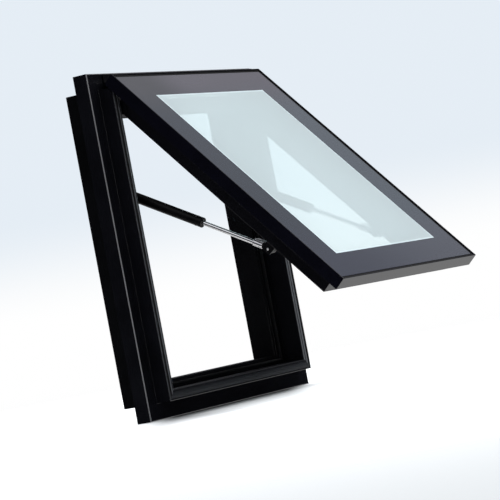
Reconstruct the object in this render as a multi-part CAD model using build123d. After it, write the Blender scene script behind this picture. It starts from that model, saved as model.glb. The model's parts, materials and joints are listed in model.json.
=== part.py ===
from build123d import *
import math
import os

os.makedirs("parts", exist_ok=True)

# ---------------------------------------------------------------------------
# Top-hung roof skylight, standing as if the roof were vertical, sash held open
# by two gas struts.  Millimetres.
#
# Working coordinates: u across the width, v down the slope, n out of the roof
# (n = 0 is the front of the flange).  Row frame: X = across, Y = into the
# building, Z = up the slope; the origin is the middle of the roof opening in
# the plane where the flange bears on the roof.
# ---------------------------------------------------------------------------
W = 700.0            # frame, outside width
L = 750.0            # frame, outside length down the slope
T1 = 35.0            # flange thickness
REAR = 85.0          # depth of the spigot behind n = 0
SPIG = 35.0          # inset of the spigot, the width of the bearing flange
UP0, UP1 = 36.0, 60.0     # upstand, outer and inner inset
N2 = 34.0            # height of the upstand's rim
LIN = 80.0           # inset of the liner's inner face
LEDGE = -24.0        # ledge that the sash closes on
TB = 3.0             # thermal break between flange and liner
JL = 8.0             # jamb lining thickness
HL = 8.0             # head lining thickness
WALL = 2.5           # wall of the main extrusions

# sash, in its closed position
SU, SV0, SV1 = 32.0, 26.0, 718.0     # outer edges: sides, top, bottom
NG = 46.0            # outer plane of the sash's raised edge
SKIRT = 29.0         # depth of the drip skirt
SK_T = 2.5           # thickness of the skirt
PLATE0, PLATE1 = 36.2, 38.2          # plate that carries the outer pane
GL_T = 5.0           # pane thickness
BXU, BXV0, BXV1 = 62.0, 64.0, 688.0  # outer edges of the sash box
BXN = -18.0          # back plane of the sash box
STW, RT, RB = 56.0, 33.0, 56.0       # box widths: stiles, top rail, bottom rail
LEG = 16.0           # outer leg of the box, beside the double glazing
SHELF = 19.0         # shelf that the double glazing sits on
RAILW, RAILT = 44.0, 18.0            # reinforcing rail along each stile

# hinge and opening
VH, NH = 23.0, 21.0
OPEN = 41.4          # opening angle in degrees
KR, PR = 6.0, 3.0    # knuckle and pin radius

# gas struts
SX = 107.5           # strut plane, from each side of the frame
VA, NA = 246.0, -50.0                # pivot on the jamb
VB, NB = 520.5, -41.3                # pivot on the sash, closed position
TUBE_R, TUBE_B, ROD_R = 11.0, 9.5, 5.0
TUBE0, TUBE1 = 18.0, 230.0           # tube ends, from the jamb pivot
SLEEVE0, SLEEVE1 = 359.0, 382.0      # lock sleeve on the rod, strut extended
STUD_R, EYE_R = 4.0, 4.05


def P(u, v, n):
    return Vector(u - W / 2, -(n + T1), L / 2 - v)


def blk(u0, u1, v0, v1, n0, n1):
    c = P((u0 + u1) / 2, (v0 + v1) / 2, (n0 + n1) / 2)
    return Solid.make_box(abs(u1 - u0), abs(n1 - n0), abs(v1 - v0)).moved(
        Location((c.X - abs(u1 - u0) / 2, c.Y - abs(n1 - n0) / 2, c.Z - abs(v1 - v0) / 2)))


def face_of(pts, radii, put):
    """Closed outline with rounded corners, put(a, b) gives the 3-D point."""
    m = len(pts)
    segs = []
    ends = []
    for i in range(m):
        p = pts[i]
        r = radii[i]
        a, b = pts[i - 1], pts[(i + 1) % m]
        if r <= 0:
            ends.append((p, p, None))
            continue
        da = (a[0] - p[0], a[1] - p[1])
        db = (b[0] - p[0], b[1] - p[1])
        la, lb = math.hypot(*da), math.hypot(*db)
        da = (da[0] / la, da[1] / la)
        db = (db[0] / lb, db[1] / lb)
        ang = math.acos(max(-1, min(1, da[0] * db[0] + da[1] * db[1])))
        t = r / math.tan(ang / 2)
        bis = (da[0] + db[0], da[1] + db[1])
        lbis = math.hypot(*bis)
        d = r / math.sin(ang / 2) - r
        mid = (p[0] + bis[0] / lbis * d, p[1] + bis[1] / lbis * d)
        ends.append(((p[0] + da[0] * t, p[1] + da[1] * t),
                     (p[0] + db[0] * t, p[1] + db[1] * t), mid))
    for i in range(m):
        s, e, mid = ends[i]
        if mid is not None:
            segs.append(Edge.make_three_point_arc(put(*s), put(*mid), put(*e)))
        nxt = ends[(i + 1) % m][0]
        if math.hypot(nxt[0] - e[0], nxt[1] - e[1]) > 1e-6:
            segs.append(Edge.make_line(put(*e), put(*nxt)))
    return Face(Wire(segs))


def prism(pts, radii, put, direction):
    s = Solid.extrude(face_of(pts, radii, put), direction)
    return s


def plate(pts, n0, n1, radii=None):
    """Outline in u, v, thick from n0 to n1."""
    return prism(pts, radii or [0] * len(pts), lambda a, b: P(a, b, n0), Vector(0, -(n1 - n0), 0))


def one(shape):
    """The single solid of a boolean result."""
    s = shape.solids()
    return s[0] if len(s) == 1 else Compound(children=list(s))


def side_map(side, rect, t):
    """(inset, n) -> point, on one side of rect = (u0, u1, v0, v1)."""
    u0, u1, v0, v1 = rect
    if side == "left":
        return lambda s, n: P(u0 + s, t, n)
    if side == "right":
        return lambda s, n: P(u1 - s, t, n)
    if side == "head":
        return lambda s, n: P(t, v0 + s, n)
    return lambda s, n: P(t, v1 - s, n)


def trapezoid(side, o, i):
    """Mitred outline of one rail between an outer and an inner rectangle."""
    if side == "left":
        p = [(o[0], o[2]), (i[0], i[2]), (i[0], i[3]), (o[0], o[3])]
    elif side == "right":
        p = [(o[1], o[2]), (o[1], o[3]), (i[1], i[3]), (i[1], i[2])]
    elif side == "head":
        p = [(o[0], o[2]), (o[1], o[2]), (i[1], i[2]), (i[0], i[2])]
    else:
        p = [(o[0], o[3]), (i[0], i[3]), (i[1], i[3]), (o[1], o[3])]
    return plate(p, -150, 150)


def rail(side, o, i, outline, radii, cuts):
    """Mitred extrusion: outline and chambers are given as (inset, n)."""
    if side in ("left", "right"):
        t0, t1, d = o[2], o[3], Vector(0, 0, -(o[3] - o[2]))
    else:
        t0, t1, d = o[0], o[1], Vector(o[1] - o[0], 0, 0)
    put = side_map(side, o, t0)
    body = prism(outline, radii, put, d)
    for pts, rr in cuts:
        body = body - prism(pts, rr, put, d)
    return one(body & trapezoid(side, o, i))


def rect(a0, a1, b0, b1):
    return [(a0, b0), (a1, b0), (a1, b1), (a0, b1)]


parts = {}
SIDES = ("head", "sill", "left", "right")

# ---------------------------------------------------------------------------
# Frame: flange and upstand, four mitred hollow extrusions
# ---------------------------------------------------------------------------
FO = (0.0, W, 0.0, L)
FI = (UP1, W - UP1, UP1, L - UP1)
f_out = [(0, -T1), (SPIG, -T1), (SPIG, -T1 + 1.0), (UP1, -T1 + 1.0), (UP1, N2), (UP0, N2), (UP0, 0), (0, 0)]
f_rad = [0.8, 0, 0, 0.4, 5.0, 1.6, 1.0, 1.6]
GR0, GR1 = 41.0, 45.0          # groove of the weather gasket in the rim
f_cut = [
    (rect(WALL, 34.0, -T1 + WALL, -WALL), [1.5] * 4),
    (rect(36.5, UP1 - WALL, -T1 + WALL + 1.0, -WALL), [1.5] * 4),
    (rect(UP0 + WALL, UP1 - WALL, 0.0, N2 - 6.5), [1.5, 1.5, 3.0, 1.5]),
    (rect(GR0, GR1, N2 - 4.0, N2 + 1), [0] * 4),
]
names = {"head": "frame_head", "sill": "frame_sill", "left": "frame_jamb_left", "right": "frame_jamb_right"}
BOLT_U, BOLT_V = 665.0, 450.0   # roof fixing holes, spacing across and up the slope
BOLT_R = 3.3
for sd in SIDES:
    b = rail(sd, FO, FI, f_out, f_rad, f_cut)
    if sd in ("left", "right"):
        u = W / 2 - BOLT_U / 2 if sd == "left" else W / 2 + BOLT_U / 2
        for v in (L / 2 - BOLT_V / 2, L / 2 + BOLT_V / 2):
            c = P(u, v, -T1 + WALL + 0.5)
            hole = Solid.make_cylinder(BOLT_R, WALL + 2.0, Plane(origin=(c.X, c.Y, c.Z), z_dir=(0, 1, 0)))
            b = one(b - hole)
    parts[names[sd]] = b

# weather gasket pressed in the rim's groove: a foot and a round bead
gk = []
gk_pts = [(GR0 + 0.1, N2 - 3.9), (GR1 - 0.1, N2 - 3.9), (GR1 - 0.1, N2), (GR1 + 0.6, N2 + 0.2),
          (GR1 + 0.6, N2 + 2.0), (GR0 - 0.6, N2 + 2.0), (GR0 - 0.6, N2 + 0.2), (GR0 + 0.1, N2)]
for sd in SIDES:
    gk.append(rail(sd, FO, FI, gk_pts, [0, 0, 0, 0, 1.2, 1.2, 0, 0], []))
parts["rim_gasket"] = Compound(children=gk)

# thermal break between flange and liner
tb = []
for sd in SIDES:
    tb.append(rail(sd, (SPIG + 2, W - SPIG - 2, SPIG + 2, L - SPIG - 2), FI,
                   rect(0, UP1 - SPIG - 3, -T1 - TB, -T1 + 1.0), [0] * 4, []))
parts["thermal_break"] = Compound(children=tb)

# ---------------------------------------------------------------------------
# Liner: the spigot that goes into the roof opening
# ---------------------------------------------------------------------------
LO = (SPIG, W - SPIG, SPIG, L - SPIG)
LI = (LIN, W - LIN, LIN, L - LIN)
w = LIN - SPIG
e = UP1 + 1.0 - SPIG
l_out = [(0, -REAR), (w, -REAR), (w, LEDGE), (e, LEDGE), (e, -T1 - TB), (0, -T1 - TB)]
l_rad = [2.5, 1.2, 1.2, 0.8, 0.8, 0.8]
LG0, LG1 = 67.0 - SPIG, 71.0 - SPIG
l_cut = [
    (rect(WALL, w - WALL, -REAR + WALL, -T1 - TB - WALL), [1.5] * 4),
    (rect(e + WALL, w - WALL, -T1 - TB - WALL - 1, LEDGE - 6.5), [0, 0, 1.0, 1.0]),
    (rect(LG0, LG1, LEDGE - 4.0, LEDGE + 1), [0] * 4),
]
names = {"head": "liner_head", "sill": "liner_sill", "left": "liner_jamb_left", "right": "liner_jamb_right"}
for sd in SIDES:
    parts[names[sd]] = rail(sd, LO, LI, l_out, l_rad, l_cut)

# closing gasket on the ledge
gk = []
gk_pts = [(LG0 + 0.1, LEDGE - 3.9), (LG1 - 0.1, LEDGE - 3.9), (LG1 - 0.1, LEDGE), (LG1 + 0.8, LEDGE + 0.2),
          (LG1 + 0.8, BXN - 0.4), (LG0 - 0.8, BXN - 0.4), (LG0 - 0.8, LEDGE + 0.2), (LG0 + 0.1, LEDGE)]
for sd in SIDES:
    gk.append(rail(sd, LO, LI, gk_pts, [0, 0, 0, 0, 2.2, 2.2, 0, 0], []))
parts["ledge_gasket"] = Compound(children=gk)

# thin linings inside the liner, at the head and on the jambs
LN0, LN1 = -REAR + 1.5, LEDGE - 2.0


def hollow_bar(u0, u1, v0, v1, n0, n1, wall, along):
    b = blk(u0, u1, v0, v1, n0, n1)
    if along == "u":
        c = blk(u0 - 1, u1 + 1, v0 + wall, v1 - wall, n0 + wall, n1 - wall)
    else:
        c = blk(u0 + wall, u1 - wall, v0 - 1, v1 + 1, n0 + wall, n1 - wall)
    return b, c


def edged(b, axis, r):
    es = b.edges().filter_by(axis)
    return b.fillet(r, es)


for sd, u0 in (("left", LIN), ("right", W - LIN - JL)):
    b, c = hollow_bar(u0, u0 + JL, LIN, L - LIN, LN0, LN1, 1.6, "v")
    parts["jamb_lining_" + sd] = one(edged(b, Axis.Z, 1.2) - c)
b, c = hollow_bar(LIN + JL, W - LIN - JL, LIN, LIN + HL, LN0, LN1, 2.0, "u")
parts["head_lining"] = one(edged(b, Axis.X, 1.2) - c)

# corner cleats pressed in the flange's outer chamber and in the liner


def cleats(rc, s0, s1, n0, n1, leg):
    u0, u1, v0, v1 = rc
    out = []
    for cu, du in ((u0, 1), (u1, -1)):
        for cv, dv in ((v0, 1), (v1, -1)):
            pts = [(cu + du * s0, cv + dv * s0), (cu + du * (s0 + leg), cv + dv * s0),
                   (cu + du * (s0 + leg), cv + dv * s1), (cu + du * s1, cv + dv * s1),
                   (cu + du * s1, cv + dv * (s0 + leg)), (cu + du * s0, cv + dv * (s0 + leg))]
            if du * dv < 0:
                pts = pts[::-1]
            out.append(plate(pts, n0, n1))
    return Compound(children=out)


parts["corner_cleats_flange"] = cleats(FO, WALL + 0.8, 33.2, -T1 + WALL + 0.8, -WALL - 0.8, 46.0)
parts["corner_cleats_liner"] = cleats(LO, WALL + 0.8, w - WALL - 0.8, -REAR + WALL + 0.8, -T1 - TB - WALL - 0.8, 54.0)

# ---------------------------------------------------------------------------
# Hinge: two extruded leaves with interleaved knuckles on one steel pin
# ---------------------------------------------------------------------------
HX = [60.0, 176.0, 292.0, 408.0, 524.0, 640.0]
HG = 0.4


def barrel(u0, u1, r):
    c = P(u0, VH, NH)
    return Solid.make_cylinder(r, u1 - u0, Plane(origin=(c.X, c.Y, c.Z), z_dir=(1, 0, 0)))


frame_leaf = blk(HX[0], HX[-1], 5.0, 33.0, 0.0, 2.5)
for k in (0, 2, 4):
    a, b = HX[k] + HG, HX[k + 1] - HG
    frame_leaf = frame_leaf + blk(a, b, 21.0, 25.0, 2.0, NH) + barrel(a, b, KR)
frame_leaf = frame_leaf - barrel(HX[0] - 1, HX[-1] + 1, PR + 0.05)
parts["hinge_frame_leaf"] = one(frame_leaf)

sash_leaf = blk(HX[0], HX[-1], SV0 - 3.0, SV0, NH + KR + 1.0, NG - 2.0)
for k in (1, 3):
    a, b = HX[k] + HG, HX[k + 1] - HG
    sash_leaf = sash_leaf + blk(a, b, SV0 - 3.0, SV0, NH, NH + KR + 1.5) + barrel(a, b, KR)
sash_leaf = sash_leaf - barrel(HX[0] - 1, HX[-1] + 1, PR + 0.05)

pin = barrel(HX[0] - 3.0, HX[-1] + 3.0, PR)
for u in (HX[0] - 3.0, HX[-1] + 1.0):
    pin = pin + barrel(u, u + 2.0, PR + 1.6)
parts["hinge_pin"] = one(pin)

# ---------------------------------------------------------------------------
# Sash, built closed
# ---------------------------------------------------------------------------
sash = {}
sash["hinge_sash_leaf"] = one(sash_leaf)
CO = (SU, W - SU, SV0, SV1)
CI = (LEG + 64.0, W - LEG - 64.0, 80.0, 670.0)


def cover(side, depth, inner):
    s1 = inner
    out = [(0, NG - depth), (SK_T, NG - depth), (SK_T, PLATE0), (s1, PLATE0), (s1, PLATE1), (SK_T, PLATE1),
           (SK_T, NG), (0, NG)]
    return rail(side, CO, CI, out, [0.6, 0.6, 0, 0.6, 0, 0, 0.9, 0.9], [])


sash["cover_head"] = cover("head", NG - 28.0, CI[2] - SV0)
sash["cover_sill"] = cover("sill", SKIRT, SV1 - CI[3])
sash["cover_left"] = cover("left", SKIRT, CI[0] - SU)
sash["cover_right"] = cover("right", SKIRT, CI[0] - SU)

BO = (BXU, W - BXU, BXV0, BXV1)
BI = (BXU + STW, W - BXU - STW, BXV0 + RT, BXV1 - RB)


def box_rail(side, width):
    out = [(0, BXN), (width, BXN), (width, SHELF), (LEG, SHELF), (LEG, PLATE0), (0, PLATE0)]
    cuts = [
        (rect(WALL, width - WALL, BXN + WALL, SHELF - WALL), [1.5] * 4),
        (rect(WALL, LEG - WALL, SHELF, PLATE0 - WALL), [1.5] * 4),
    ]
    return rail(side, BO, BI, out, [1.8, 1.8, 1.2, 0.8, 0.6, 0.8], cuts)


sash["sash_head"] = box_rail("head", RT)
sash["sash_sill"] = box_rail("sill", RB)
sash["sash_stile_left"] = box_rail("left", STW)
sash["sash_stile_right"] = box_rail("right", STW)
sash["corner_cleats_sash"] = cleats(BO, WALL + 0.8, 28.0, BXN + WALL + 0.8, SHELF - WALL - 0.8, 46.0)

for sd, u0 in (("left", BI[0]), ("right", BI[1] - RAILW)):
    b, c = hollow_bar(u0, u0 + RAILW, BI[2], BI[3], BXN, BXN + RAILT, 2.0, "v")
    sash["stile_rail_" + sd] = one(edged(b, Axis.Z, 1.2) - c)

# double glazing: outer pane, spacer, sealant, inner pane
SEAL_W = 6.0
GO = (SU + SK_T + SEAL_W, W - SU - SK_T - SEAL_W, SV0 + SK_T + SEAL_W, SV1 - SK_T - SEAL_W)
IP = (82.0, W - 82.0, 82.0, 668.0)
SP = 6.0             # sealant width outside the spacer
SPW = 8.0            # spacer width


def ring(o, i, n0, n1, ro=0.0, ri=0.0):
    a = plate([(o[0], o[2]), (o[0], o[3]), (o[1], o[3]), (o[1], o[2])], n0, n1, [ro] * 4)
    b = plate([(i[0], i[2]), (i[0], i[3]), (i[1], i[3]), (i[1], i[2])], n0 - 1, n1 + 1, [ri] * 4)
    return one(a - b)


def inset(r, d):
    return (r[0] + d, r[1] - d, r[2] + d, r[3] - d)


def pane(o, n0, n1, r, ch):
    p = plate([(o[0], o[2]), (o[0], o[3]), (o[1], o[3]), (o[1], o[2])], n0, n1, [r] * 4)
    edges = p.faces().sort_by(Axis.Y)[0].edges() + p.faces().sort_by(Axis.Y)[-1].edges()
    return p.chamfer(ch, None, edges)


N_IN = PLATE1 - 12.0
sash["glass_outer"] = pane(GO, PLATE1, PLATE1 + GL_T, 3.0, 0.6)
sash["glass_inner"] = pane(IP, N_IN - GL_T, N_IN, 2.0, 0.5)
sash["spacer_bar"] = ring(inset(IP, SP), inset(IP, SP + SPW), N_IN, PLATE1, 1.0, 1.0)
sash["edge_sealant"] = ring(IP, inset(IP, SP), N_IN, PLATE1, 1.0, 1.0)
sash["glazing_seal"] = ring(inset(CO, SK_T), inset(CO, SK_T + SEAL_W), PLATE1, PLATE1 + GL_T - 0.2, 0.6, 3.0)
gs = []
for sd in SIDES:
    gs.append(rail(sd, inset(IP, 1.0), inset(IP, 10.0), rect(0, 9.0, SHELF, N_IN - GL_T), [0, 0, 0, 0], []))
sash["glazing_gasket"] = Compound(children=gs)

# ---------------------------------------------------------------------------
# Handle and latch on the bottom rail, keeper in the sill (the handle is
# unlatched: lever up the slope, cam pointing sideways)
# ---------------------------------------------------------------------------
HU, HV = W / 2, 646.0
hb = plate([(HU - 32, HV - 9), (HU - 32, HV + 9), (HU + 32, HV + 9), (HU + 32, HV - 9)], BXN - 8.0, BXN, [8.5] * 4)


def ncyl(u, v, n0, n1, r):
    c = P(u, v, n0)
    return Solid.make_cylinder(r, n1 - n0, Plane(origin=(c.X, c.Y, c.Z), z_dir=(0, -1, 0)))


hb = hb - ncyl(HU, HV, BXN - 9, BXN + 1, 5.05)
sash["handle_base"] = one(hb)

lever = ncyl(HU, HV, BXN - 22.0, BXN - 14.0, 10.0)
lever = lever + ncyl(HU, HV, BXN - 15.0, BXN, 5.0)
lever = lever + plate([(HU - 7, HV), (HU + 7, HV), (HU + 5.5, HV - 68), (HU - 5.5, HV - 68)],
                      BXN - 22.0, BXN - 15.0, [0.5, 0.5, 5.0, 5.0])
handle = {"handle_lever": one(lever)}
cam = plate([(HU - 10, HV - 7), (HU - 10, HV + 7), (HU + 27, HV + 7), (HU + 27, HV - 7)],
            BXN - 13.6, BXN - 9.2, [3] * 4)
cam = cam - ncyl(HU, HV, BXN - 14, BXN - 8, 5.0)
handle["latch_cam"] = one(cam)

# the cam swings into a slot in the sill liner, under a steel keeper plate
KV = L - LIN           # face of the sill liner
slot = blk(HU - 13, HU + 21, KV - 1.0, KV + 5.0, BXN - 15.2, BXN - 8.2)
parts["liner_sill"] = one(parts["liner_sill"] - slot)
keeper = blk(HU - 12.9, HU + 20.9, KV + 0.2, KV + 4.9, BXN - 9.0, BXN - 8.2)
parts["latch_keeper"] = one(keeper)

# ---------------------------------------------------------------------------
# Gas struts and their brackets
# ---------------------------------------------------------------------------
th = math.radians(OPEN)
ob_v = VH + (VB - VH) * math.cos(th) - (NB - NH) * math.sin(th)
ob_n = NH + (VB - VH) * math.sin(th) + (NB - NH) * math.cos(th)
REACH = math.hypot(ob_v - VA, ob_n - NA)
ANG = math.degrees(math.atan2(ob_n - NA, ob_v - VA))
REACH_C = math.hypot(VB - VA, NB - NA)
ANG_C = math.degrees(math.atan2(NB - NA, VB - VA))
print("strut reach open %.3f closed %.3f angle open %.3f closed %.3f" % (REACH, REACH_C, ANG, ANG_C))
print("strut B open v %.2f n %.2f" % (ob_v, ob_n))

strut = {}
clips = []
for sd, u, out in (("left", SX, -1), ("right", W - SX, 1)):
    A = P(u, VA, NA)
    B = P(u, ob_v, ob_n)
    d = (B - A).normalized()
    pl = Plane(origin=A, x_dir=(1, 0, 0), z_dir=d)

    def cyl(z0, z1, r):
        return Solid.make_cylinder(r, z1 - z0, Plane(origin=A + d * z0, x_dir=(1, 0, 0), z_dir=d))

    def cone(z0, z1, r0, r1):
        return Solid.make_cone(r0, r1, z1 - z0, Plane(origin=A + d * z0, x_dir=(1, 0, 0), z_dir=d))

    def cross(z, x0, x1, r):
        """Cylinder across the strut, x0 and x1 from the strut's plane, outward."""
        a, b = sorted((out * x0, out * x1))
        o = A + d * z + Vector(1, 0, 0) * a
        return Solid.make_cylinder(r, b - a, Plane(origin=o, z_dir=(1, 0, 0)))

    tube = cyl(TUBE0, TUBE1 - 8.0, TUBE_R) - cyl(TUBE0 + 3.0, TUBE1, TUBE_B)
    strut["strut_tube_" + sd] = one(tube)
    gland = cyl(TUBE1 - 8.0, TUBE1, TUBE_R + 0.1) + cyl(TUBE1 - 20.0, TUBE1 - 7.0, TUBE_B - 0.05)
    gland = gland.fillet(1.2, gland.faces().sort_by(lambda f: (f.center() - A).dot(d))[-1].edges())
    gland = gland - cyl(TUBE1 - 22.0, TUBE1 + 2, ROD_R + 0.06)
    strut["strut_gland_" + sd] = one(gland)
    rod = cyl(TUBE1 - 34.0, SLEEVE1 + 3.0, ROD_R) + cyl(TUBE1 - 40.0, TUBE1 - 30.0, TUBE_B - 0.08)
    strut["strut_rod_" + sd] = one(rod)
    sleeve = cyl(SLEEVE0, SLEEVE1, 7.4)
    sleeve = sleeve.fillet(0.8, sleeve.edges())
    strut["strut_sleeve_" + sd] = one(sleeve - cyl(SLEEVE0 - 1, SLEEVE1 + 1, ROD_R))
    # socket at the rod end
    so = cyl(SLEEVE1, REACH, 7.0) + cross(REACH, -7.4, 7.4, 9.5)
    so = so - cyl(SLEEVE1 - 1, SLEEVE1 + 3.0, ROD_R)
    strut["rod_socket_" + sd] = one(so)
    # eye at the tube end
    te = cyl(3.0, TUBE0, 7.0) + cross(0, -7.5, 7.5, 9.5)
    te = te - cross(0, -9, 9, EYE_R)
    strut["tube_eye_" + sd] = one(te)

    # bracket on the jamb lining: plate, boss and stud
    face_u = LIN + JL if sd == "left" else W - LIN - JL
    s = -out
    pu = sorted((face_u, face_u + s * 3.0))
    jb = prism([(VA - 24, NA - 14), (VA + 24, NA - 14), (VA + 24, NA + 14), (VA - 24, NA + 14)], [6] * 4,
               lambda a, b: P(pu[0], a, b), Vector(3.0, 0, 0))

    def xcyl(ua, ub, v, n, r):
        a, b = sorted((ua, ub))
        o = P(a, v, n)
        return Solid.make_cylinder(r, b - a, Plane(origin=o, z_dir=(1, 0, 0)))

    jb = jb + xcyl(face_u + s * 2.0, u - s * 8.0, VA, NA, 7.0)
    jb = jb + xcyl(face_u + s * 2.0, u + s * 8.4, VA, NA, STUD_R)
    for dv in (-16, 16):
        jb = jb - xcyl(face_u - s * 1, face_u + s * 4, VA + dv, NA, 2.3)
    strut_b = one(jb)
    parts["strut_bracket_jamb_" + sd] = strut_b
    clip = xcyl(u + s * 7.8, u + s * 9.4, VA, NA, 6.5) - xcyl(u + s * 7, u + s * 10, VA, NA, STUD_R)
    clips.append(one(clip))

    # bracket on the sash stile, closed position: base on the back face, lug, stud
    ub = (u - 12.0, u + 26.0) if sd == "left" else (u - 26.0, u + 12.0)
    base = plate([(ub[0], VB - 22), (ub[0], VB + 22), (ub[1], VB + 22), (ub[1], VB - 22)], BXN - 3.0, BXN, [3] * 4)
    lug_u = u + out * 12.0
    lu = sorted((lug_u, lug_u + out * 3.0))
    lug = prism([(VB - 14, BXN), (VB - 10, NB - 9), (VB + 10, NB - 9), (VB + 14, BXN)], [0, 6, 6, 0],
                lambda a, b: P(lu[0], a, b), Vector(3.0, 0, 0))
    base2 = blk(min(ub[0], lu[0]), max(ub[1], lu[1]), VB - 14, VB + 14, BXN - 3.0, BXN)
    sb = base + base2 + lug
    sb = sb + xcyl(lug_u, u + out * 7.9, VB, NB, STUD_R) + xcyl(lug_u, u + out * 9.5, VB, NB, 6.5)
    sash["strut_bracket_sash_" + sd] = one(sb)

parts["stud_clips"] = Compound(children=clips)

# ---------------------------------------------------------------------------
# Screws: pan heads with a hexagon socket, shanks without their thread
# ---------------------------------------------------------------------------
SCR_R, SCR_H = 1.9, 2.0


def screw(p, d, ln, hr=3.6):
    """Head on the point p, looking along d; the shank runs the other way."""
    head = Solid.make_cylinder(hr, SCR_H, Plane(origin=p, z_dir=d))
    head = head.fillet(0.7, head.faces().sort_by(lambda f: (f.center() - p).dot(d))[-1].edges())
    body = head + Solid.make_cylinder(SCR_R, ln + 0.5, Plane(origin=p - d * ln, z_dir=d))
    pl = Plane(origin=p + d * (SCR_H - 1.2), z_dir=d)
    pts = [pl.from_local_coords((1.7 * math.cos(math.radians(60 * i)), 1.7 * math.sin(math.radians(60 * i)), 0))
           for i in range(6)]
    edges = [Edge.make_line(pts[i], pts[(i + 1) % 6]) for i in range(6)]
    return one(body - Solid.extrude(Face(Wire(edges)), d * 3.0))


def bore(p, d, ln, r=None):
    return Solid.make_cylinder(r or SCR_R + 0.05, ln + 1.5, Plane(origin=p - d * (ln + 0.5), z_dir=d))


def fasten(store, name, spots, ln, through):
    """spots are (point, direction); each one bores the nodes in through."""
    out = []
    for p, d in spots:
        out.append(screw(p, d, ln))
        for group, node in through:
            group[node] = one(group[node] - bore(p, d, ln))
    store[name] = Compound(children=out)


SCREW_L = 9.0


def put_screw(store, out, p, d, nodes):
    """One screw at p; its shank bores the named nodes."""
    out.append(screw(p, d, SCREW_L))
    for n in nodes:
        store[n] = one(store[n] - bore(p, d, SCREW_L))


OUT, IN, UPW = Vector(0, -1, 0), Vector(0, 1, 0), Vector(0, 0, 1)
fs, ss = [], []
for u in (84, 217, 350, 483, 616):
    put_screw(parts, fs, P(u, 12.0, 2.5), OUT, ("hinge_frame_leaf", "frame_head"))
    put_screw(sash, ss, P(u, SV0 - 3.0, 32.5), UPW, ("hinge_sash_leaf", "cover_head"))
for sd, face_u, s in (("left", LIN + JL + 3.0, 1), ("right", W - LIN - JL - 3.0, -1)):
    for dv in (-16, 16):
        put_screw(parts, fs, P(face_u, VA + dv, NA), Vector(s, 0, 0),
                  ("strut_bracket_jamb_" + sd, "jamb_lining_" + sd))
for sd, us in (("left", (101.0, 126.0)), ("right", (W - 101.0, W - 126.0))):
    for uu in us:
        node = "sash_stile_" + sd if abs(uu - W / 2) > 240 else "stile_rail_" + sd
        for dv in (-17, 17):
            put_screw(sash, ss, P(uu, VB + dv, BXN - 3.0), IN, ("strut_bracket_sash_" + sd, node))
for du in (-23, 23):
    p = P(HU + du, HV, BXN - 4.5)
    sash["handle_base"] = one(sash["handle_base"] - Solid.make_cylinder(3.9, 5.0, Plane(origin=p, z_dir=(0, 1, 0))))
    put_screw(sash, ss, p, IN, ("handle_base", "sash_sill"))
parts["frame_screws"] = Compound(children=fs)
sash["sash_screws"] = Compound(children=ss)
# captive nuts for the roof fixing bolts, in the jambs' outer chamber
nuts = []
for u in (W / 2 - BOLT_U / 2, W / 2 + BOLT_U / 2):
    for v in (L / 2 - BOLT_V / 2, L / 2 + BOLT_V / 2):
        b = blk(u - 10, u + 10, v - 10, v + 10, -T1 + WALL, -T1 + WALL + 5.0)
        c = P(u, v, -T1 + WALL + 6.0)
        nuts.append(one(b - Solid.make_cylinder(2.55, 7.0, Plane(origin=c, z_dir=(0, 1, 0)))))
parts["roof_bolt_nuts"] = Compound(children=nuts)

# ---------------------------------------------------------------------------
# Open the sash and its handle about the hinge, and write every node
# ---------------------------------------------------------------------------
hc = P(W / 2, VH, NH)
haxis = Axis((hc.X, hc.Y, hc.Z), (-1, 0, 0))


def opened(s):
    if isinstance(s, Compound):
        return Compound(children=[q.rotate(haxis, OPEN) for q in s.solids()])
    return s.rotate(haxis, OPEN)


for k, s in {**sash, **handle}.items():
    parts[k] = opened(s)
parts.update(strut)

for k, s in parts.items():
    export_step(s, "parts/%s.step" % k)
print(len(parts), "nodes")
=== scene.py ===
import json
import math

import bmesh
import bpy
from mathutils import Matrix, Vector


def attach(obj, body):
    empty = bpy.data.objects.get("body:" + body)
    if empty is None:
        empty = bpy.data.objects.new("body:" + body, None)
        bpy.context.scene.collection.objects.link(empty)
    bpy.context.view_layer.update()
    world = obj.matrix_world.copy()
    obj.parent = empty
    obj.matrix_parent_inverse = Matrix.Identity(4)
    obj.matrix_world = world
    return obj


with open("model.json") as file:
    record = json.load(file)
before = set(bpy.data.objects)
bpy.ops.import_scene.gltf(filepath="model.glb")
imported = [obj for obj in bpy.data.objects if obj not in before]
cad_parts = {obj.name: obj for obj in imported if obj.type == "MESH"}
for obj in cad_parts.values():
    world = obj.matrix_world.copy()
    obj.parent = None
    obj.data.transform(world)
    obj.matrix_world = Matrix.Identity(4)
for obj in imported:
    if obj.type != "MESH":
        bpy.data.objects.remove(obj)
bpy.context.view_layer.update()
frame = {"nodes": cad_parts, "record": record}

# Lengths in metres.  u across, v down the slope, n out of the roof; the CAD
# frame is X = u - 0.350, Y = -(n + 0.035), Z = 0.375 - v.
W, L, T1 = 0.700, 0.750, 0.035
VH, NH = 0.023, 0.021
OPEN = math.radians(41.4)
HINGE = Vector((0.0, -(NH + T1), L / 2 - VH))


def P(u, v, n):
    return Vector((u - W / 2, -(n + T1), L / 2 - v))


# ---------------------------------------------------------------------------
# Camera
# ---------------------------------------------------------------------------
cam_data = bpy.data.cameras.new("camera")
cam = bpy.data.objects.new("camera", cam_data)
bpy.context.scene.collection.objects.link(cam)
right = Vector((0.49404187, -0.84943694, -0.18541714))
up = Vector((0.07476185, -0.17096626, 0.98243636))
back = Vector((-0.86621781, -0.49922683, -0.02095902))
cam.matrix_world = Matrix((
    (right.x, up.x, back.x, -5.23352),
    (right.y, up.y, back.y, -3.16367),
    (right.z, up.z, back.z, -0.17725),
    (0, 0, 0, 1)))
cam_data.sensor_width = 36.0
cam_data.lens = 2740.68 / 500.0 * 36.0
cam_data.clip_start = 0.05
cam_data.clip_end = 60.0
bpy.context.scene.camera = cam

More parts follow.
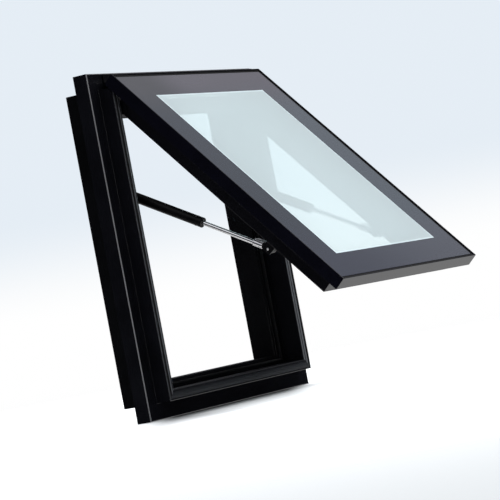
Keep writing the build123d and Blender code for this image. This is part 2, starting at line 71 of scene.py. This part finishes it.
bpy.context.scene.view_settings.view_transform = "Standard"
bpy.context.scene.view_settings.look = "None"


# ---------------------------------------------------------------------------
# Node graph helpers
# ---------------------------------------------------------------------------
class Graph:
    def __init__(self, name, world=False):
        if world:
            self.owner = bpy.data.worlds.new(name)
        else:
            self.owner = bpy.data.materials.new(name)
        self.owner.use_nodes = True
        self.t = self.owner.node_tree
        self.t.nodes.clear()
        self.out = self.t.nodes.new("ShaderNodeOutputWorld" if world else "ShaderNodeOutputMaterial")

    def node(self, kind, **sets):
        n = self.t.nodes.new(kind)
        for k, v in sets.items():
            setattr(n, k, v)
        return n

    def put(self, socket, value):
        if isinstance(value, bpy.types.NodeSocket):
            self.t.links.new(value, socket)
        elif value is not None:
            if hasattr(socket.default_value, "__len__") and not hasattr(value, "__len__"):
                value = [value] * len(socket.default_value)
            if hasattr(socket.default_value, "__len__") and len(value) == 3 and len(socket.default_value) == 4:
                value = (*value, 1.0)
            socket.default_value = value

    def m(self, op, a, b=None, c=None, clamp=False):
        n = self.node("ShaderNodeMath", operation=op, use_clamp=clamp)
        self.put(n.inputs[0], a)
        if b is not None:
            self.put(n.inputs[1], b)
        if c is not None:
            self.put(n.inputs[2], c)
        return n.outputs[0]

    def coords(self):
        return self.node("ShaderNodeTexCoord").outputs["Object"]

    def xyz(self, v):
        n = self.node("ShaderNodeSeparateXYZ")
        self.put(n.inputs[0], v)
        return n.outputs[0], n.outputs[1], n.outputs[2]

    def closed(self, v):
        """Coordinates of an opened piece turned back to the closed position."""
        n = self.node("ShaderNodeVectorRotate", rotation_type="AXIS_ANGLE")
        self.put(n.inputs["Vector"], v)
        n.inputs["Center"].default_value = HINGE
        n.inputs["Axis"].default_value = (1, 0, 0)
        n.inputs["Angle"].default_value = OPEN
        return n.outputs[0]

    def noise(self, v, scale, detail=2.0, rough=0.5, stretch=None, dist=0.0):
        if stretch:
            mp = self.node("ShaderNodeMapping")
            self.put(mp.inputs["Vector"], v)
            mp.inputs["Scale"].default_value = stretch
            v = mp.outputs[0]
        n = self.node("ShaderNodeTexNoise")
        self.put(n.inputs["Vector"], v)
        n.inputs["Scale"].default_value = scale
        n.inputs["Detail"].default_value = detail
        n.inputs["Roughness"].default_value = rough
        n.inputs["Distortion"].default_value = dist
        return n.outputs[0]

    def span(self, v, a, b, lo=0.0, hi=1.0, smooth=True):
        n = self.node("ShaderNodeMapRange", interpolation_type="SMOOTHSTEP" if smooth else "LINEAR")
        self.put(n.inputs["Value"], v)
        n.inputs["From Min"].default_value = a
        n.inputs["From Max"].default_value = b
        n.inputs["To Min"].default_value = lo
        n.inputs["To Max"].default_value = hi
        return n.outputs[0]

    def mix(self, f, a, b):
        n = self.node("ShaderNodeMix", data_type="RGBA")
        self.put(n.inputs["Factor"], f)
        self.put(n.inputs[6], a)
        self.put(n.inputs[7], b)
        return n.outputs[2]

    def bump(self, height, strength, distance, normal=None):
        n = self.node("ShaderNodeBump")
        n.inputs["Strength"].default_value = strength
        n.inputs["Distance"].default_value = distance
        self.put(n.inputs["Height"], height)
        if normal is not None:
            self.put(n.inputs["Normal"], normal)
        return n.outputs[0]

    def principled(self, **sets):
        n = self.node("ShaderNodeBsdfPrincipled")
        for k, v in sets.items():
            self.put(n.inputs[k], v)
        return n

    def surface(self, socket):
        self.t.links.new(socket, self.out.inputs["Surface"])
        return self.owner


def uvn(g, v):
    """u, v, n of a point, from row coordinates."""
    x, y, z = g.xyz(v)
    return g.m("ADD", x, W / 2), g.m("SUBTRACT", L / 2, z), g.m("SUBTRACT", -T1, y)


def edge_inset(g, u, v, rect):
    """Distance inside a rectangle's nearest side, and how near its mitre is."""
    du = g.m("MINIMUM", g.m("SUBTRACT", u, rect[0]), g.m("SUBTRACT", rect[1], u))
    dv = g.m("MINIMUM", g.m("SUBTRACT", v, rect[2]), g.m("SUBTRACT", rect[3], v))
    return g.m("MINIMUM", du, dv), g.m("ABSOLUTE", g.m("SUBTRACT", du, dv))


def powder(name, colour, rough, ior=1.5, opened=False, rect=None, rim=False, edge=None, spec=0.5, tint=None):
    """Powder-coated extrusion: orange peel, faint patchiness, hairline mitres; a painted highlight on the rim strip and
    on the flange's outer edge where asked.
    """
    g = Graph(name)
    c = g.coords()
    if opened:
        c = g.closed(c)
    fine = g.noise(c, 1400.0, 3.0, 0.55)
    patch = g.noise(c, 9.0, 3.0, 0.6)
    draw = g.noise(c, 60.0, 2.0, 0.5, (1.0, 1.0, 1.0))
    lo = [x * 0.75 for x in colour]
    hi = [x * 1.3 for x in colour]
    col = g.mix(g.span(patch, 0.3, 0.7), lo, hi)
    r = g.m("ADD", rough - 0.05, g.m("MULTIPLY", patch, 0.07))
    r = g.m("ADD", r, g.m("MULTIPLY", draw, 0.04))
    height = fine
    if rect:
        u, v, n = uvn(g, c)
        ins, mit = edge_inset(g, u, v, rect)
        hair = g.span(mit, 0.00015, 0.0006, 1.0, 0.0)
        col = g.mix(hair, col, [x * 0.25 for x in colour])
        height = g.m("SUBTRACT", height, g.m("MULTIPLY", hair, 3.0))
        if rim:
            # flat strip of the rim inside its gasket, less glossy; its lighter colour is a painted highlight, and a
            # fainter painted highlight line runs nearer the outer edge
            strip = g.m("MULTIPLY", g.span(ins, 0.0452, 0.0460), g.span(ins, 0.0588, 0.0600, 1.0, 0.0))
            groove = g.m("MULTIPLY", g.span(ins, 0.0520, 0.0530), g.span(ins, 0.0550, 0.0560, 1.0, 0.0))
            strip = g.m("MULTIPLY", strip, g.m("SUBTRACT", 1.0, groove))
            lead_highlight = g.m("MULTIPLY", g.span(ins, 0.0362, 0.0372), g.span(ins, 0.0405, 0.0412, 1.0, 0.0))
            strip = g.m("MAXIMUM", strip, g.m("MULTIPLY", lead_highlight, 0.6))
            # along the head and sill the painted highlight is one soft rounded band
            du = g.m("MINIMUM", g.m("SUBTRACT", u, rect[0]), g.m("SUBTRACT", rect[1], u))
            upright = g.m("LESS_THAN", du, g.m("ADD", ins, 0.0001))
            sill_highlight_band = g.m("MULTIPLY", g.span(ins, 0.0362, 0.0430), g.span(ins, 0.0460, 0.0590, 1.0, 0.0))
            strip = g.m("ADD", g.m("MULTIPLY", strip, upright),
                        g.m("MULTIPLY", g.m("MULTIPLY", sill_highlight_band, 0.30), g.m("SUBTRACT", 1.0, upright)))
            groove = g.m("MULTIPLY", groove, upright)
            strip = g.m("MULTIPLY", strip, g.span(n, 0.0315, 0.0332))
            col = g.mix(strip, col, rim)
            height = g.m("SUBTRACT", height, g.m("MULTIPLY", groove, 2.0))
            r = g.m("ADD", r, g.m("MULTIPLY", strip, 0.12))
        if edge:
            # rolled outer edge of the flange, with a painted highlight line along it
            painted_edge_highlight = g.m("MULTIPLY", g.span(ins, 0.0016, 0.0022, 1.0, 0.0), g.span(n, -0.0022, -0.0016))
            col = g.mix(painted_edge_highlight, col, edge)
    b = g.bump(height, 0.06, 0.00006)
    s = g.principled(**{"Base Color": col, "Roughness": r, "IOR": ior, "Normal": b, "Specular IOR Level": spec})
    if tint:
        s.inputs["Specular Tint"].default_value = (*tint, 1.0)
    return g.surface(s.outputs[0])


def rubber(name, colour=(0.003, 0.003, 0.0035)):
    g = Graph(name)
    c = g.coords()
    fine = g.noise(c, 900.0, 4.0, 0.65)
    patch = g.noise(c, 30.0, 3.0, 0.6)
    col = g.mix(g.span(patch, 0.3, 0.7), [x * 0.7 for x in colour], [x * 1.6 for x in colour])
    r = g.m("ADD", 0.62, g.m("MULTIPLY", patch, 0.2))
    b = g.bump(fine, 0.35, 0.00012)
    s = g.principled(**{"Base Color": col, "Roughness": r, "Normal": b, "Specular IOR Level": 0.14})
    return g.surface(s.outputs[0])


def rim_rubber():
    """Weather gasket of the rim: dark between the jambs' ridges; along the head and sill it is paler, a painted
    highlight.
    """
    g = Graph("rim_rubber")
    c = g.coords()
    u, v, n = uvn(g, c)
    fine = g.noise(c, 900.0, 4.0, 0.65)
    patch = g.noise(c, 30.0, 3.0, 0.6)
    col = g.mix(g.span(patch, 0.3, 0.7), (0.0025, 0.0025, 0.003), (0.0050, 0.0050, 0.0058))
    # painted highlight: the gasket is made paler along the head and sill
    sill_highlight = g.span(g.m("SUBTRACT", L / 2, g.m("ABSOLUTE", g.m("SUBTRACT", v, L / 2))), 0.046, 0.047, 1.0, 0.0)
    col = g.mix(g.m("MULTIPLY", sill_highlight, 0.9), col, (0.028, 0.029, 0.032))
    s = g.principled(**{"Base Color": col, "Roughness": g.m("ADD", 0.6, g.m("MULTIPLY", patch, 0.2)),
                        "Normal": g.bump(fine, 0.3, 0.00012), "Specular IOR Level": 0.14})
    return g.surface(s.outputs[0])


def metal(name, colour, rough, axis_stretch=(1, 1, 1), scale=400.0, aniso=0.0, bump=0.05, amp=0.12):
    g = Graph(name)
    c = g.coords()
    lines = g.noise(c, scale, 4.0, 0.6, axis_stretch)
    patch = g.noise(c, 45.0, 3.0, 0.6)
    col = g.mix(g.span(patch, 0.3, 0.7), [x * 0.88 for x in colour], colour)
    r = g.m("ADD", rough - amp * 0.5, g.m("MULTIPLY", lines, amp))
    b = g.bump(lines, bump, 0.00005)
    s = g.principled(**{"Base Color": col, "Metallic": 1.0, "Roughness": r, "Normal": b, "Anisotropic": aniso})
    return g.surface(s.outputs[0])


def plastic(name, colour, rough, scale=1100.0, bump=0.2, coat=0.0, spec=0.35):
    g = Graph(name)
    c = g.coords()
    fine = g.noise(c, scale, 3.0, 0.6)
    patch = g.noise(c, 40.0, 2.0, 0.5)
    col = g.mix(g.span(patch, 0.3, 0.7), [x * 0.8 for x in colour], [x * 1.25 for x in colour])
    r = g.m("ADD", rough, g.m("MULTIPLY", patch, 0.08))
    b = g.bump(fine, bump, 0.00010)
    s = g.principled(**{"Base Color": col, "Roughness": r, "Normal": b, "Coat Weight": coat, "Coat Roughness": 0.12,
                        "Specular IOR Level": spec})
    return g.surface(s.outputs[0])


SASH_RECT = (0.032, 0.668, 0.026, 0.718)
FRIT_S, FRIT_T = 0.0866, 0.0752      # printed border, from the sash's outer edge


def outer_glass():
    """Toughened pane with a printed border; its body has a pale milky tint."""
    g = Graph("outer_glass")
    c = g.closed(g.coords())
    u, v, n = uvn(g, c)
    du = g.m("MINIMUM", g.m("SUBTRACT", u, SASH_RECT[0]), g.m("SUBTRACT", SASH_RECT[1], u))
    dv = g.m("MINIMUM", g.m("SUBTRACT", v, SASH_RECT[2]), g.m("SUBTRACT", SASH_RECT[3], v))
    # distance inside the border's inner edge, positive over clear glass
    d = g.m("MINIMUM", g.m("SUBTRACT", du, FRIT_S), g.m("SUBTRACT", dv, FRIT_T))
    clear = g.span(d, -0.0002, 0.0002)
    lip = g.m("MULTIPLY", g.span(d, -0.0004, 0.0002), g.span(d, 0.0020, 0.0060, 1.0, 0.0))
    patch = g.noise(c, 4.0, 2.0, 0.5)
    fine = g.noise(c, 2600.0, 2.0, 0.5)
    # printed enamel with very fine grain; its tone is a painted reflection of the sky, lighter to the right and along
    # the top, cooler towards the bottom
    ink_with_painted_light = g.mix(g.span(u, 0.14, 0.60), (0.012, 0.020, 0.034), (0.062, 0.078, 0.098))
    foot = g.mix(g.span(u, 0.06, 0.66), (0.018, 0.023, 0.042), (0.062, 0.068, 0.088))
    ink_with_painted_light = g.mix(g.span(v, 0.50, 0.68), ink_with_painted_light, foot)
    crown_reflection = g.mix(g.span(u, 0.13, 0.30), (0.034, 0.034, 0.043), (0.080, 0.074, 0.094))
    ink_with_painted_light = g.mix(g.span(v, 0.05, 0.20, 1.0, 0.0), ink_with_painted_light, crown_reflection)
    ink_with_painted_light = g.mix(g.m("MULTIPLY", patch, 0.2), ink_with_painted_light, (0.030, 0.032, 0.038))
    # painted shade: a dark strip along the border's right edge, for the shaded inner face of the sash's lip
    ink_with_painted_light = g.mix(g.span(u, SASH_RECT[1] - 0.0105, SASH_RECT[1] - 0.0095), ink_with_painted_light, (0.002, 0.002, 0.003))
    ink_s = g.principled(**{"Base Color": ink_with_painted_light, "Roughness": g.m("ADD", 0.10, g.m("MULTIPLY", fine, 0.05)), "IOR": 1.52})
    milk = g.mix(patch, (0.705, 0.832, 0.855), (0.745, 0.864, 0.888))
    diff = g.node("ShaderNodeBsdfDiffuse")
    g.put(diff.inputs["Color"], milk)
    trans = g.node("ShaderNodeBsdfTranslucent")
    g.put(trans.inputs["Color"], milk)
    veil = g.node("ShaderNodeMixShader")
    veil.inputs[0].default_value = 0.12
    g.t.links.new(diff.outputs[0], veil.inputs[1])
    g.t.links.new(trans.outputs[0], veil.inputs[2])
    see = g.node("ShaderNodeBsdfTransparent")
    see.inputs["Color"].default_value = (0.955, 0.995, 0.995, 1.0)
    # the milky tint sits on the weather face only
    front = g.span(n, 0.0420, 0.0430)
    amount = g.m("MULTIPLY", front, g.m("ADD", 0.70, g.m("MULTIPLY", lip, 0.22)))
    body = g.node("ShaderNodeMixShader")
    g.put(body.inputs[0], amount)
    g.t.links.new(see.outputs[0], body.inputs[1])
    g.t.links.new(veil.outputs[0], body.inputs[2])
    gloss = g.node("ShaderNodeBsdfGlossy")
    gloss.inputs["Roughness"].default_value = 0.03
    fres = g.node("ShaderNodeFresnel")
    fres.inputs["IOR"].default_value = 1.5
    shiny = g.node("ShaderNodeMixShader")
    outside = g.m("SUBTRACT", 1.0, g.node("ShaderNodeNewGeometry").outputs["Backfacing"])
    g.put(shiny.inputs[0], g.m("MULTIPLY", g.m("MULTIPLY", fres.outputs[0], outside), g.m("ADD", 0.25, g.m("MULTIPLY", front, 0.35))))
    g.t.links.new(body.outputs[0], shiny.inputs[1])
    g.t.links.new(gloss.outputs[0], shiny.inputs[2])
    s = g.node("ShaderNodeMixShader")
    g.put(s.inputs[0], clear)
    g.t.links.new(ink_s.outputs[0], s.inputs[1])
    g.t.links.new(shiny.outputs[0], s.inputs[2])
    return g.surface(s.outputs[0])


def inner_glass():
    g = Graph("inner_glass")
    c = g.coords()
    see = g.node("ShaderNodeBsdfTransparent")
    patch = g.noise(c, 5.0, 2.0, 0.5)
    g.put(see.inputs["Color"], g.mix(patch, (0.97, 0.993, 0.99), (0.98, 0.996, 0.993)))
    gloss = g.node("ShaderNodeBsdfGlossy")
    gloss.inputs["Roughness"].default_value = 0.02
    fres = g.node("ShaderNodeFresnel")
    fres.inputs["IOR"].default_value = 1.5
    s = g.node("ShaderNodeMixShader")
    outside = g.m("SUBTRACT", 1.0, g.node("ShaderNodeNewGeometry").outputs["Backfacing"])
    g.put(s.inputs[0], g.m("MULTIPLY", g.m("MULTIPLY", fres.outputs[0], outside), 0.5))
    g.t.links.new(see.outputs[0], s.inputs[1])
    g.t.links.new(gloss.outputs[0], s.inputs[2])
    return g.surface(s.outputs[0])


def spacer():
    """Aluminium spacer with its two rows of drying perforations."""
    g = Graph("spacer_bar")
    c = g.closed(g.coords())
    u, v, n = uvn(g, c)
    fine = g.noise(c, 300.0, 3.0, 0.6)
    pitch = 0.003
    a = g.m("ABSOLUTE", g.m("SUBTRACT", g.m("FRACT", g.m("DIVIDE", g.m("ADD", u, v), pitch)), 0.5))
    row = g.m("ABSOLUTE", g.m("SUBTRACT", g.m("FRACT", g.m("DIVIDE", n, 0.006)), 0.5))
    hole = g.m("MULTIPLY", g.span(a, 0.10, 0.16, 1.0, 0.0), g.span(row, 0.05, 0.09, 1.0, 0.0))
    col = g.mix(hole, (0.50, 0.51, 0.53), (0.03, 0.03, 0.03))
    s = g.principled(**{"Base Color": col, "Metallic": 0.9, "Roughness": g.m("ADD", 0.32, g.m("MULTIPLY", fine, 0.15)),
                        "Normal": g.bump(g.m("SUBTRACT", fine, g.m("MULTIPLY", hole, 2.0)), 0.2, 0.0001)})
    return g.surface(s.outputs[0])


FRAME_RECT = (0.0, 0.700, 0.0, 0.750)
M = {}
# the rim and edge colours are painted highlights: the rim strip with its sill band, and the flange's outer edge line
M["frame_paint"] = powder("frame_paint", (0.0032, 0.0033, 0.0046), 0.20, rect=FRAME_RECT, rim=(0.090, 0.093, 0.100),
                          edge=(0.145, 0.145, 0.150), spec=0.16)
M["liner_paint"] = powder("liner_paint", (0.0022, 0.0023, 0.0028), 0.24, rect=(0.035, 0.665, 0.035, 0.715), spec=0.16)
M["lining_paint"] = powder("lining_paint", (0.0030, 0.0030, 0.0036), 0.24, spec=0.18)
M["cover_paint"] = powder("cover_paint", (0.0018, 0.0018, 0.0040), 0.17, ior=1.5, opened=True, rect=SASH_RECT, spec=0.27)
M["sash_paint"] = powder("sash_paint", (0.0030, 0.0030, 0.0042), 0.22, ior=1.5, opened=True,
                         rect=(0.062, 0.638, 0.064, 0.688), spec=0.20)
M["rail_paint"] = powder("rail_paint", (0.0024, 0.0024, 0.0034), 0.22, opened=True, spec=0.14)
M["hinge_paint"] = powder("hinge_paint", (0.0026, 0.0026, 0.0036), 0.26, spec=0.25)
M["bracket_paint"] = powder("bracket_paint", (0.0030, 0.0030, 0.0036), 0.30, spec=0.16)
M["outer_glass"] = outer_glass()
M["inner_glass"] = inner_glass()
M["spacer"] = spacer()
M["sealant"] = rubber("sealant", (0.004, 0.004, 0.004))
M["gasket_rubber"] = rubber("gasket_rubber")
M["rim_rubber"] = rim_rubber()
M["thermal_break"] = plastic("thermal_break", (0.006, 0.006, 0.007), 0.5)
M["cleat"] = metal("cleat", (0.62, 0.62, 0.63), 0.38, (1, 1, 14))
M["hinge_pin"] = metal("hinge_pin", (0.52, 0.52, 0.54), 0.26, (40, 1, 1), 60.0)
M["fastener_steel"] = metal("fastener_steel", (0.42, 0.42, 0.43), 0.28)
M["strut_tube_paint"] = plastic("strut_tube_paint", (0.0020, 0.0020, 0.0026), 0.34, 700.0, 0.05, 0.0, 0.12)
M["rod_chrome"] = metal("rod_chrome", (0.90, 0.91, 0.92), 0.16, (1, 6, 6), 900.0, 0.2, 0.02, 0.05)
M["sleeve_chrome"] = metal("sleeve_chrome", (0.88, 0.88, 0.90), 0.22, (1, 5, 5), 800.0, 0.1, 0.03, 0.08)
M["socket_plastic"] = plastic("socket_plastic", (0.004, 0.004, 0.005), 0.32, spec=0.16)
M["clip_steel"] = metal("clip_steel", (0.86, 0.86, 0.88), 0.30)
M["handle_plastic"] = plastic("handle_plastic", (0.008, 0.008, 0.009), 0.28, 1300.0, 0.15, 0.15)
M["latch_steel"] = metal("latch_steel", (0.50, 0.50, 0.51), 0.30, (8, 1, 1))

slot_of = {s["node"]: s["material_slot"] for s in frame["record"]["subparts"]}
for name, ob in frame["nodes"].items():
    ob.data.materials.clear()
    ob.data.materials.append(M["rim_rubber"] if name == "rim_gasket" else M[slot_of[name]])


# ---------------------------------------------------------------------------
# Small pieces made here
# ---------------------------------------------------------------------------
def new_piece(name, bm, body, material, smooth=True):
    me = bpy.data.meshes.new(name)
    bmesh.ops.recalc_face_normals(bm, faces=bm.faces)
    bm.to_mesh(me)
    bm.free()
    for p in me.polygons:
        p.use_smooth = smooth
    ob = bpy.data.objects.new(name, me)
    bpy.context.scene.collection.objects.link(ob)
    me.materials.append(material)
    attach(ob, body)
    return ob


def lathe(name, origin, direction, profile, body, material, steps=48):
    """Closed ring turned from (along, radius) points about an axis."""
    bm = bmesh.new()
    d = direction.normalized()
    a = d.orthogonal().normalized()
    b = d.cross(a)
    rings = []
    for i in range(steps):
        t = 2 * math.pi * i / steps
        e = a * math.cos(t) + b * math.sin(t)
        rings.append([bm.verts.new(origin + d * z + e * r) for z, r in profile])
    m = len(profile)
    for i in range(steps):
        p, q = rings[i], rings[(i + 1) % steps]
        for k in range(m):
            bm.faces.new((p[k], p[(k + 1) % m], q[(k + 1) % m], q[k]))
    return new_piece(name, bm, body, material)


def strip_along(name, path, width_dir, up_dirs, width, thick, body, material):
    """Flat spring strip swept along a path, with rounded long edges."""
    bm = bmesh.new()
    h, t = width / 2, thick / 2
    sec = [(-h, -t * 0.4), (-h, t * 0.4), (-h + t * 0.7, t), (h - t * 0.7, t),
           (h, t * 0.4), (h, -t * 0.4), (h - t * 0.7, -t), (-h + t * 0.7, -t)]
    rings = []
    for i, (p, up_d) in enumerate(zip(path, up_dirs)):
        k = 0.55 if i in (0, len(path) - 1) else 1.0
        rings.append([bm.verts.new(p + width_dir * a * k + up_d * b) for a, b in sec])
    for r0, r1 in zip(rings, rings[1:]):
        for k in range(len(sec)):
            bm.faces.new((r0[k], r0[(k + 1) % len(sec)], r1[(k + 1) % len(sec)], r1[k]))
    bm.faces.new(rings[0])
    bm.faces.new(list(reversed(rings[-1])))
    return new_piece(name, bm, body, material)


def dome(r, h, lip=0.0004, bore=0.0004, steps=7):
    """Closed profile of a riveted head standing on a face."""
    pts = [(0.0 - lip, bore), (0.0 - lip, r), (lip, r)]
    for i in range(1, steps + 1):
        a = math.pi / 2 * i / steps
        pts.append((lip + (h - lip) * math.sin(a), max(bore, r * math.cos(a))))
    return pts


# pivots of the struts; the sash end is turned with the open sash
VA, NA, VB, NB = 0.246, -0.050, 0.5205, -0.0413


def turned(v, n):
    return (VH + (v - VH) * math.cos(OPEN) - (n - NH) * math.sin(OPEN),
            NH + (v - VH) * math.sin(OPEN) + (n - NH) * math.cos(OPEN))


for sd, u, out in (("left", 0.1075, -1.0), ("right", W - 0.1075, 1.0)):
    A = P(u, VA, NA)
    B = P(u, *turned(VB, NB))
    d = (B - A).normalized()
    wv = (Vector((0, 0, 1)) - d * d.z).normalized()
    # safety spring over the socket
    knots = [(0.3600, 0.0086), (0.3625, 0.0094), (0.3660, 0.0102), (0.3720, 0.0107), (0.3780, 0.0108),
             (0.3830, 0.0102), (0.3865, 0.0090), (0.3890, 0.0076), (0.3905, 0.0060)]
    path = [A + d * z + wv * r for z, r in knots]
    ups = []
    for i in range(len(path)):
        t = (path[min(i + 1, len(path) - 1)] - path[max(i - 1, 0)]).normalized()
        ups.append((wv - t * t.dot(wv)).normalized())
    strip_along("socket_spring_" + sd, path, Vector((1, 0, 0)), ups, 0.0078, 0.0012,
                "strut_piston_" + sd, M["clip_steel"])
    # riveted stud end and lower rivet on the lug of the sash bracket
    face = u + out * 0.015
    lathe("stud_rivet_" + sd, P(face, *turned(VB, NB)), Vector((out, 0, 0)), dome(0.0028, 0.0017),
          "sash", M["clip_steel"], 32)
    lathe("lug_rivet_" + sd, P(face, *turned(VB + 0.0095, -0.0255)), Vector((out, 0, 0)), dome(0.0034, 0.0019),
          "sash", M["clip_steel"], 32)
    # rolled crimp near the open end of the tube
    lathe("tube_crimp_" + sd, A + d * 0.214, d,
          [(-0.0022, 0.0109), (-0.0014, 0.01125), (-0.0006, 0.0114), (0.0006, 0.0114), (0.0014, 0.01125), (0.0022, 0.0109)],
          "strut_cylinder_" + sd, M["strut_tube_paint"], 64)


# ---------------------------------------------------------------------------
# Floor, sky and lights
# ---------------------------------------------------------------------------
FLOOR_Z = -0.3762
bm = bmesh.new()
bmesh.ops.create_circle(bm, cap_ends=True, radius=4.5, segments=96)
me = bpy.data.meshes.new("floor")
bm.to_mesh(me)
bm.free()
floor = bpy.data.objects.new("floor", me)
floor.location = (0.0, 0.0, FLOOR_Z)
bpy.context.scene.collection.objects.link(floor)
g = Graph("floor")
c = g.coords()
x, y, z = g.xyz(c)
rad = g.m("SQRT", g.m("ADD", g.m("MULTIPLY", x, x), g.m("MULTIPLY", y, y)))
fade = g.span(rad, 1.3, 4.2)
diff = g.node("ShaderNodeBsdfDiffuse")
cl = g.noise(c, 1.3, 3.0, 0.5)
away = g.m("DIVIDE", g.m("SUBTRACT", -T1, y), 0.50)          # distance out from the sill
foot = g.m("ADD", x, g.m("MULTIPLY", away, 0.86))
side = g.m("SUBTRACT", W / 2 + 0.02, g.m("ABSOLUTE", foot))
# painted cast shadow: darkens the floor's colour and glow, fading out over 0.62 m from the sill
painted_shadow = g.m("MULTIPLY", g.span(away, 0.0, 0.62, 1.0, 0.0, smooth=False), g.span(away, -0.26, -0.10))
painted_shadow = g.m("MULTIPLY", painted_shadow, g.span(side, -0.045, 0.14))
base = g.mix(cl, (0.50, 0.51, 0.52), (0.55, 0.555, 0.56))
g.put(diff.inputs["Color"], g.mix(g.m("MULTIPLY", painted_shadow, 0.90), base, (0.05, 0.05, 0.055)))
emi = g.node("ShaderNodeEmission")
g.put(emi.inputs["Color"], g.mix(painted_shadow, (0.95, 0.98, 1.0), (0.0, 0.0, 0.0)))
emi.inputs["Strength"].default_value = 0.66
add = g.node("ShaderNodeAddShader")
g.t.links.new(diff.outputs[0], add.inputs[0])
g.t.links.new(emi.outputs[0], add.inputs[1])
see = g.node("ShaderNodeBsdfTransparent")
s = g.node("ShaderNodeMixShader")
g.put(s.inputs[0], g.m("MAXIMUM", fade, g.node("ShaderNodeLightPath").outputs["Is Glossy Ray"]))
g.t.links.new(add.outputs[0], s.inputs[1])
g.t.links.new(see.outputs[0], s.inputs[2])
me.materials.append(g.surface(s.outputs[0]))

g = Graph("sky", world=True)
v = g.node("ShaderNodeTexCoord").outputs["Generated"]
x, y, z = g.xyz(v)
# what the camera sees behind the part: white low down, pale blue above
seen = g.mix(g.span(z, 0.008, 0.048), (1.0, 1.0, 1.0), (0.785, 0.850, 0.915))
seen = g.mix(g.span(z, -0.015, -0.055), seen, (0.81, 0.845, 0.87))
# what lights it: dim round the horizon, bright overhead and below
high = g.span(z, 0.20, 0.85)
low = g.span(z, -0.16, -0.46)
lit = g.mix(high, (0.020, 0.021, 0.028), (1.00, 1.01, 1.06))
lit = g.mix(low, lit, (1.0, 1.0, 1.0))
lp = g.node("ShaderNodeLightPath")
bg1 = g.node("ShaderNodeBackground")
g.put(bg1.inputs["Color"], lit)
bg2 = g.node("ShaderNodeBackground")
g.put(bg2.inputs["Color"], seen)
mx = g.node("ShaderNodeMixShader")
g.put(mx.inputs[0], lp.outputs["Is Camera Ray"])
g.t.links.new(bg1.outputs[0], mx.inputs[1])
g.t.links.new(bg2.outputs[0], mx.inputs[2])
g.t.links.new(mx.outputs[0], g.out.inputs["Surface"])
bpy.context.scene.world = g.owner


def area(name, loc, target, size, power, colour=(1, 1, 1)):
    d = bpy.data.lights.new(name, "AREA")
    d.shape = "RECTANGLE"
    d.size, d.size_y = size
    d.energy = power
    d.color = colour
    o = bpy.data.objects.new(name, d)
    o.location = loc
    o.rotation_euler = (Vector(target) - Vector(loc)).to_track_quat("-Z", "Y").to_euler()
    bpy.context.scene.collection.objects.link(o)
    return o


area("key", (1.2, -3.0, 2.9), (0, -0.3, 0), (2.4, 2.4), 105.0, (1.0, 1.0, 1.0))
area("back_key", (0.9, 2.3, 2.5), (0, -0.3, -0.2), (1.3, 1.3), 130.0, (1.0, 1.0, 1.0))
area("edge_strip", (-2.6, -4.3, 0.1), (0, 0, 0), (0.35, 3.0), 60.0)
